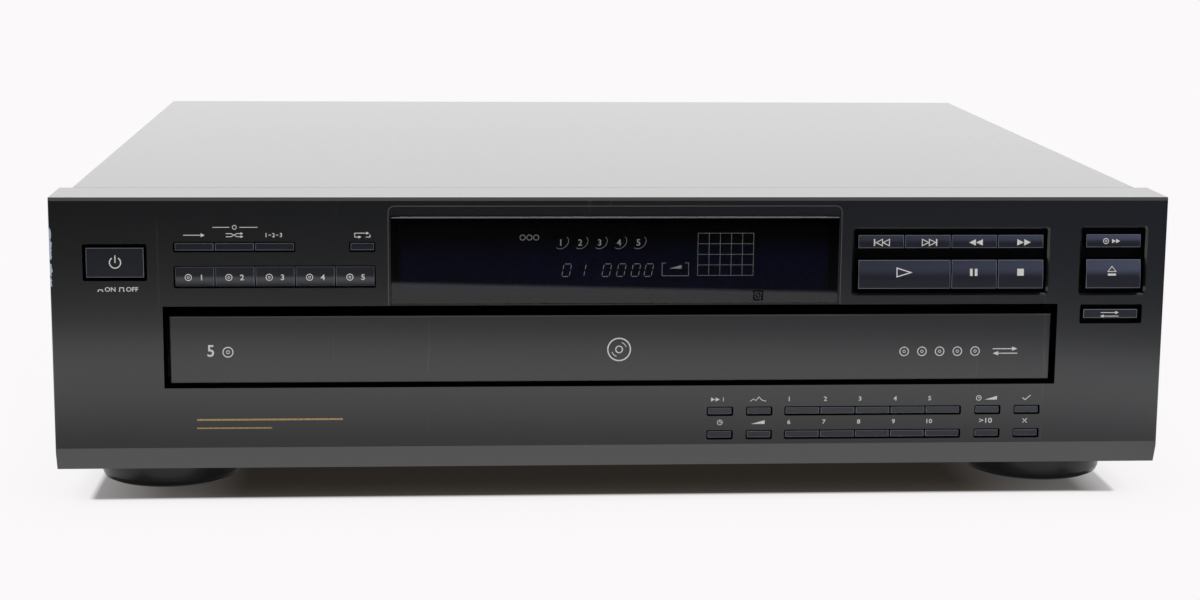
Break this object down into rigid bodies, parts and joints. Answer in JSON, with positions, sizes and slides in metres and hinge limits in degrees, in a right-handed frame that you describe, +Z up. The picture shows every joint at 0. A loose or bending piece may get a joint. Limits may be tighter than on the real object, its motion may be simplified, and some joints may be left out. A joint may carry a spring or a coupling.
{
  "type": "multi disc cd changer",
  "caption": "Low full-width disc changer: a front drawer slides out with a carousel of disc wells over a lifting optical pickup, with push keys and a display window.",
  "frame": {"origin": "bottom centre of the whole deck, on the table between the feet", "axes": "+X to the right seen from the front, +Y to the back, +Z up"},
  "size_m": [0.43, 0.3948, 0.1175],
  "materials": {
    "cover_steel": "satin black textured paint",
    "panel_plastic": "semi-gloss black",
    "zinc_steel": "zinc-plated sheet",
    "foot_plastic": "matt black",
    "black_screws": "black oxide",
    "window_acrylic": "dark tinted acrylic",
    "circuit_board": "phenolic board",
    "frame_plastic": "black moulding",
    "motor_steel": "plated steel",
    "tray_plastic": "black moulding",
    "carousel_plastic": "black moulding",
    "gear_plastic": "acetal",
    "pickup_plastic": "black moulding",
    "key_plastic": "semi-gloss blue-black"
  },
  "bodies": {
    "deck": {"top_cover": "cover_steel", "front_panel": "panel_plastic", "chassis": "zinc_steel", "rear_panel": "cover_steel", "feet": "foot_plastic", "case_screws": "black_screws", "display_window": "window_acrylic", "key_board": "circuit_board", "main_board": "circuit_board", "mechanism_frame": "frame_plastic", "loading_motor": "motor_steel"},
    "drawer": {"tray": "tray_plastic", "tray_door": "panel_plastic", "table_motor": "motor_steel"},
    "carousel": {"carousel": "carousel_plastic"},
    "table_gear": {"table_gear": "gear_plastic"},
    "loading_gear": {"loading_gear": "gear_plastic"},
    "loading_pinion": {"loading_pinion": "gear_plastic"},
    "pickup_base": {"pickup_base": "motor_steel"},
    "optical_pickup": {"optical_pickup": "pickup_plastic"},
    "spindle_hub": {"spindle_hub": "gear_plastic"},
    "disc_clamp": {"disc_clamp": "frame_plastic"},
    "power_button": {"power_button": "key_plastic"},
    "continue_key": {"continue_key": "key_plastic"},
    "shuffle_key": {"shuffle_key": "key_plastic"},
    "program_key": {"program_key": "key_plastic"},
    "repeat_key": {"repeat_key": "key_plastic"},
    "disc_key_1": {"disc_key_1": "key_plastic"},
    "disc_key_2": {"disc_key_2": "key_plastic"},
    "disc_key_3": {"disc_key_3": "key_plastic"},
    "disc_key_4": {"disc_key_4": "key_plastic"},
    "disc_key_5": {"disc_key_5": "key_plastic"},
    "previous_key": {"previous_key": "key_plastic"},
    "next_key": {"next_key": "key_plastic"},
    "rewind_key": {"rewind_key": "key_plastic"},
    "forward_key": {"forward_key": "key_plastic"},
    "play_key": {"play_key": "key_plastic"},
    "pause_key": {"pause_key": "key_plastic"},
    "stop_key": {"stop_key": "key_plastic"},
    "disc_skip_key": {"disc_skip_key": "key_plastic"},
    "open_close_key": {"open_close_key": "key_plastic"},
    "exchange_key": {"exchange_key": "key_plastic"},
    "music_scan_key": {"music_scan_key": "key_plastic"},
    "peak_search_key": {"peak_search_key": "key_plastic"},
    "time_key": {"time_key": "key_plastic"},
    "fader_key": {"fader_key": "key_plastic"},
    "number_key_1": {"number_key_1": "key_plastic"},
    "number_key_2": {"number_key_2": "key_plastic"},
    "number_key_3": {"number_key_3": "key_plastic"},
    "number_key_4": {"number_key_4": "key_plastic"},
    "number_key_5": {"number_key_5": "key_plastic"},
    "number_key_6": {"number_key_6": "key_plastic"},
    "number_key_7": {"number_key_7": "key_plastic"},
    "number_key_8": {"number_key_8": "key_plastic"},
    "number_key_9": {"number_key_9": "key_plastic"},
    "number_key_10": {"number_key_10": "key_plastic"},
    "edit_fade_key": {"edit_fade_key": "key_plastic"},
    "over_ten_key": {"over_ten_key": "key_plastic"},
    "check_key": {"check_key": "key_plastic"},
    "clear_key": {"clear_key": "key_plastic"}
  },
  "joints": [
    {"name": "drawer_slide", "type": "slide", "parent": "deck", "child": "drawer", "axis": [0, -1, 0], "range_m": [0, 0.22]},
    {"name": "carousel_turn", "type": "hinge", "parent": "drawer", "child": "carousel", "pos_m": [0, 0.00385, 0.056], "axis": [0, 0, 1], "continuous": true},
    {"name": "pickup_lift", "type": "slide", "parent": "deck", "child": "pickup_base", "axis": [0, 0, 1], "range_m": [0, 0.0101]},
    {"name": "pickup_travel", "type": "slide", "parent": "pickup_base", "child": "optical_pickup", "axis": [0, 1, 0], "range_m": [0, 0.034]},
    {"name": "hub_spin", "type": "hinge", "parent": "pickup_base", "child": "spindle_hub", "pos_m": [0, 0.10735, 0.05], "axis": [0, 0, 1], "continuous": true},
    {"name": "clamp_spin", "type": "hinge", "parent": "deck", "child": "disc_clamp", "pos_m": [0, 0.10735, 0.068], "axis": [0, 0, 1], "continuous": true},
    {"name": "power_push", "type": "slide", "parent": "deck", "child": "power_button", "axis": [0, 1, 0], "range_m": [-0.003, 0.0005]},
    {"name": "loading_gear_turn", "type": "hinge", "parent": "deck", "child": "loading_gear", "pos_m": [-0.098, -0.13615, 0.042], "axis": [0, 0, 1], "range_deg": [-1, 632]},
    {"name": "loading_pinion_turn", "type": "hinge", "parent": "deck", "child": "loading_pinion", "pos_m": [-0.073, -0.13615, 0.04], "axis": [0, 0, 1], "range_deg": [-2525, 4]},
    {"name": "table_gear_turn", "type": "hinge", "parent": "drawer", "child": "table_gear", "pos_m": [0.05914, 0.07433, 0.052], "axis": [0, 0, 1], "continuous": true},
    {"name": "continue_key_push", "type": "slide", "parent": "deck", "child": "continue_key", "axis": [0, 1, 0], "range_m": [0, 0.0008], "stiffness_N_per_m": 150},
    {"name": "shuffle_key_push", "type": "slide", "parent": "deck", "child": "shuffle_key", "axis": [0, 1, 0], "range_m": [0, 0.0008], "stiffness_N_per_m": 150},
    {"name": "program_key_push", "type": "slide", "parent": "deck", "child": "program_key", "axis": [0, 1, 0], "range_m": [0, 0.0008], "stiffness_N_per_m": 150},
    {"name": "repeat_key_push", "type": "slide", "parent": "deck", "child": "repeat_key", "axis": [0, 1, 0], "range_m": [0, 0.0008], "stiffness_N_per_m": 150},
    {"name": "disc_key_1_push", "type": "slide", "parent": "deck", "child": "disc_key_1", "axis": [0, 1, 0], "range_m": [0, 0.0008], "stiffness_N_per_m": 150},
    {"name": "disc_key_2_push", "type": "slide", "parent": "deck", "child": "disc_key_2", "axis": [0, 1, 0], "range_m": [0, 0.0008], "stiffness_N_per_m": 150},
    {"name": "disc_key_3_push", "type": "slide", "parent": "deck", "child": "disc_key_3", "axis": [0, 1, 0], "range_m": [0, 0.0008], "stiffness_N_per_m": 150},
    {"name": "disc_key_4_push", "type": "slide", "parent": "deck", "child": "disc_key_4", "axis": [0, 1, 0], "range_m": [0, 0.0008], "stiffness_N_per_m": 150},
    {"name": "disc_key_5_push", "type": "slide", "parent": "deck", "child": "disc_key_5", "axis": [0, 1, 0], "range_m": [0, 0.0008], "stiffness_N_per_m": 150},
    {"name": "previous_key_push", "type": "slide", "parent": "deck", "child": "previous_key", "axis": [0, 1, 0], "range_m": [0, 0.0008], "stiffness_N_per_m": 150},
    {"name": "next_key_push", "type": "slide", "parent": "deck", "child": "next_key", "axis": [0, 1, 0], "range_m": [0, 0.0008], "stiffness_N_per_m": 150},
    {"name": "rewind_key_push", "type": "slide", "parent": "deck", "child": "rewind_key", "axis": [0, 1, 0], "range_m": [0, 0.0008], "stiffness_N_per_m": 150},
    {"name": "forward_key_push", "type": "slide", "parent": "deck", "child": "forward_key", "axis": [0, 1, 0], "range_m": [0, 0.0008], "stiffness_N_per_m": 150},
    {"name": "play_key_push", "type": "slide", "parent": "deck", "child": "play_key", "axis": [0, 1, 0], "range_m": [0, 0.0008], "stiffness_N_per_m": 150},
    {"name": "pause_key_push", "type": "slide", "parent": "deck", "child": "pause_key", "axis": [0, 1, 0], "range_m": [0, 0.0008], "stiffness_N_per_m": 150},
    {"name": "stop_key_push", "type": "slide", "parent": "deck", "child": "stop_key", "axis": [0, 1, 0], "range_m": [0, 0.0008], "stiffness_N_per_m": 150},
    {"name": "disc_skip_key_push", "type": "slide", "parent": "deck", "child": "disc_skip_key", "axis": [0, 1, 0], "range_m": [0, 0.0008], "stiffness_N_per_m": 150},
    {"name": "open_close_key_push", "type": "slide", "parent": "deck", "child": "open_close_key", "axis": [0, 1, 0], "range_m": [0, 0.0008], "stiffness_N_per_m": 150},
    {"name": "exchange_key_push", "type": "slide", "parent": "deck", "child": "exchange_key", "axis": [0, 1, 0], "range_m": [0, 0.0008], "stiffness_N_per_m": 150},
    {"name": "music_scan_key_push", "type": "slide", "parent": "deck", "child": "music_scan_key", "axis": [0, 1, 0], "range_m": [0, 0.0008], "stiffness_N_per_m": 150},
    {"name": "peak_search_key_push", "type": "slide", "parent": "deck", "child": "peak_search_key", "axis": [0, 1, 0], "range_m": [0, 0.0008], "stiffness_N_per_m": 150},
    {"name": "time_key_push", "type": "slide", "parent": "deck", "child": "time_key", "axis": [0, 1, 0], "range_m": [0, 0.0008], "stiffness_N_per_m": 150},
    {"name": "fader_key_push", "type": "slide", "parent": "deck", "child": "fader_key", "axis": [0, 1, 0], "range_m": [0, 0.0008], "stiffness_N_per_m": 150},
    {"name": "number_key_1_push", "type": "slide", "parent": "deck", "child": "number_key_1", "axis": [0, 1, 0], "range_m": [0, 0.0008], "stiffness_N_per_m": 150},
    {"name": "number_key_2_push", "type": "slide", "parent": "deck", "child": "number_key_2", "axis": [0, 1, 0], "range_m": [0, 0.0008], "stiffness_N_per_m": 150},
    {"name": "number_key_3_push", "type": "slide", "parent": "deck", "child": "number_key_3", "axis": [0, 1, 0], "range_m": [0, 0.0008], "stiffness_N_per_m": 150},
    {"name": "number_key_4_push", "type": "slide", "parent": "deck", "child": "number_key_4", "axis": [0, 1, 0], "range_m": [0, 0.0008], "stiffness_N_per_m": 150},
    {"name": "number_key_5_push", "type": "slide", "parent": "deck", "child": "number_key_5", "axis": [0, 1, 0], "range_m": [0, 0.0008], "stiffness_N_per_m": 150},
    {"name": "number_key_6_push", "type": "slide", "parent": "deck", "child": "number_key_6", "axis": [0, 1, 0], "range_m": [0, 0.0008], "stiffness_N_per_m": 150},
    {"name": "number_key_7_push", "type": "slide", "parent": "deck", "child": "number_key_7", "axis": [0, 1, 0], "range_m": [0, 0.0008], "stiffness_N_per_m": 150},
    {"name": "number_key_8_push", "type": "slide", "parent": "deck", "child": "number_key_8", "axis": [0, 1, 0], "range_m": [0, 0.0008], "stiffness_N_per_m": 150},
    {"name": "number_key_9_push", "type": "slide", "parent": "deck", "child": "number_key_9", "axis": [0, 1, 0], "range_m": [0, 0.0008], "stiffness_N_per_m": 150},
    {"name": "number_key_10_push", "type": "slide", "parent": "deck", "child": "number_key_10", "axis": [0, 1, 0], "range_m": [0, 0.0008], "stiffness_N_per_m": 150},
    {"name": "edit_fade_key_push", "type": "slide", "parent": "deck", "child": "edit_fade_key", "axis": [0, 1, 0], "range_m": [0, 0.0008], "stiffness_N_per_m": 150},
    {"name": "over_ten_key_push", "type": "slide", "parent": "deck", "child": "over_ten_key", "axis": [0, 1, 0], "range_m": [0, 0.0008], "stiffness_N_per_m": 150},
    {"name": "check_key_push", "type": "slide", "parent": "deck", "child": "check_key", "axis": [0, 1, 0], "range_m": [0, 0.0008], "stiffness_N_per_m": 150},
    {"name": "clear_key_push", "type": "slide", "parent": "deck", "child": "clear_key", "axis": [0, 1, 0], "range_m": [0, 0.0008], "stiffness_N_per_m": 150}
  ],
  "couplings": [
    {"joint": "loading_gear_turn", "follows": "drawer_slide", "rad_per_m": 50},
    {"joint": "loading_pinion_turn", "follows": "drawer_slide", "rad_per_m": -200},
    {"joint": "table_gear_turn", "follows": "carousel_turn", "ratio": -6.6667}
  ]
}
